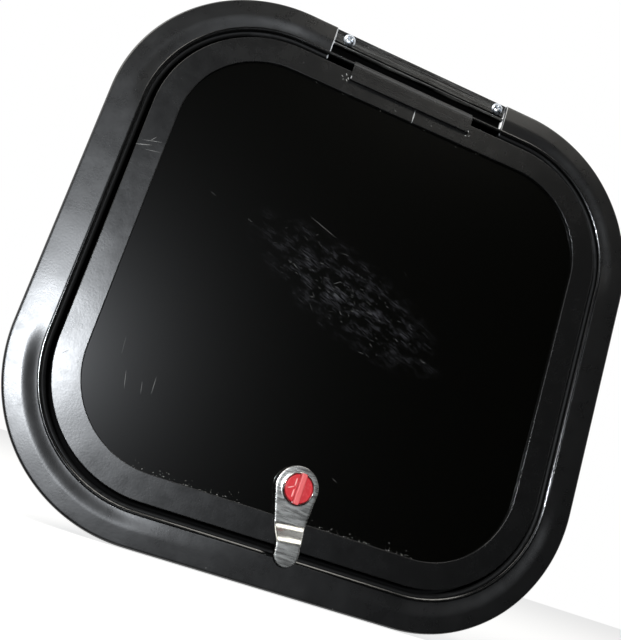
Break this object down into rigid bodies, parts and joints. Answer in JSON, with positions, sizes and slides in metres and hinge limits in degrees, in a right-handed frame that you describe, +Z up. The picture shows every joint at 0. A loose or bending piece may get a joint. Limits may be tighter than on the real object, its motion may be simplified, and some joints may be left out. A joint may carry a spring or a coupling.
{
  "type": "cargo access door",
  "caption": "Black rounded-square cargo access door for a camper wall: crowned flange frame, top-hung inset door on a hook hinge, red thumb-turn cam lock with a chromed finger pull.",
  "frame": {"origin": "middle of the bottom run's outer foot, on the flange's back face, which lies on the wall", "axes": "+Z up towards the hinge, +Y into the wall, the front faces -Y"},
  "size_m": [0.356, 0.0395, 0.342],
  "materials": {
    "black_coat": "satin black powder coat on bent aluminium section",
    "hinge_coat": "satin black coat on extruded aluminium, bare at the sawn ends",
    "zinc_steel": "bright zinc-plated steel",
    "seal_rubber": "dull dark grey seal rubber",
    "gloss_skin": "gloss black sheet, lightly scuffed",
    "foam_core": "rigid foam",
    "back_skin": "matt black sheet",
    "chrome_plate": "bright chromed metal",
    "red_plastic": "moulded red plastic"
  },
  "bodies": {
    "frame": {"frame_flange": "black_coat", "frame_neck": "black_coat", "frame_splice": "zinc_steel", "lip_seal": "seal_rubber", "stop_seal": "seal_rubber", "notch_strip": "hinge_coat", "hinge_screw_left": "zinc_steel", "hinge_screw_right": "zinc_steel"},
    "door": {"door_ring": "black_coat", "front_panel": "gloss_skin", "door_core": "foam_core", "back_panel": "back_skin", "hinge_door_leaf": "hinge_coat", "pull_gasket": "seal_rubber", "finger_pull": "chrome_plate", "lock_body": "chrome_plate", "lock_washer": "zinc_steel", "lock_nut": "zinc_steel"},
    "latch": {"thumb_turn": "red_plastic", "cam": "zinc_steel", "cam_screw": "zinc_steel"}
  },
  "joints": [
    {"name": "door_hinge", "type": "hinge", "parent": "frame", "child": "door", "pos_m": [0, -0.0042, 0.3213], "axis": [-1, 0, 0], "range_deg": [0, 100]},
    {"name": "latch_turn", "type": "hinge", "parent": "door", "child": "latch", "pos_m": [0.001, 0, 0.0575], "axis": [0, 1, 0], "range_deg": [0, 90]}
  ]
}
